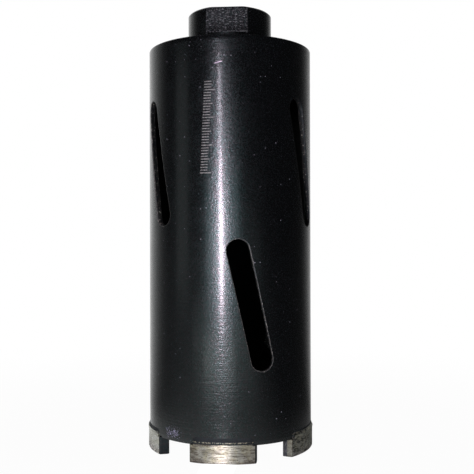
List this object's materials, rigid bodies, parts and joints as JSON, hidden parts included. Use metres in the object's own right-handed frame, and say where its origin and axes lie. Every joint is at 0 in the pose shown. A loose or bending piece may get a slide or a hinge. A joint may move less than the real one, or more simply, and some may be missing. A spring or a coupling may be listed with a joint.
{
  "type": "diamond core bit",
  "caption": "Dry diamond core bit: slotted steel barrel with welded cutting segments on its lower edge and a threaded hub with spanner flats on top.",
  "frame": {"origin": "on the barrel's axis, in the plane of the segments' cutting faces", "axes": "+Z along the axis from the cutting faces to the hub; the first segment faces about -Y"},
  "size_m": [0.0652, 0.0648, 0.17],
  "materials": {
    "barrel_paint": "satin black paint with a fine metallic speckle",
    "hub_paint": "satin black paint, worn to metal along the spanner flats' edges",
    "weld_paint": "satin black paint, ground back to bare metal along the segment",
    "segment_metal": "sintered metal and diamond, ground round its outer face"
  },
  "bodies": {
    "root": {"barrel": "barrel_paint", "end_plate": "barrel_paint", "rim_weld": "barrel_paint", "hub": "hub_paint", "hub_weld": "hub_paint", "segment_1": "segment_metal", "segment_2": "segment_metal", "segment_3": "segment_metal", "segment_4": "segment_metal", "segment_5": "segment_metal", "segment_weld_1": "weld_paint", "segment_weld_2": "weld_paint", "segment_weld_3": "weld_paint", "segment_weld_4": "weld_paint", "segment_weld_5": "weld_paint"}
  },
  "joints": []
}
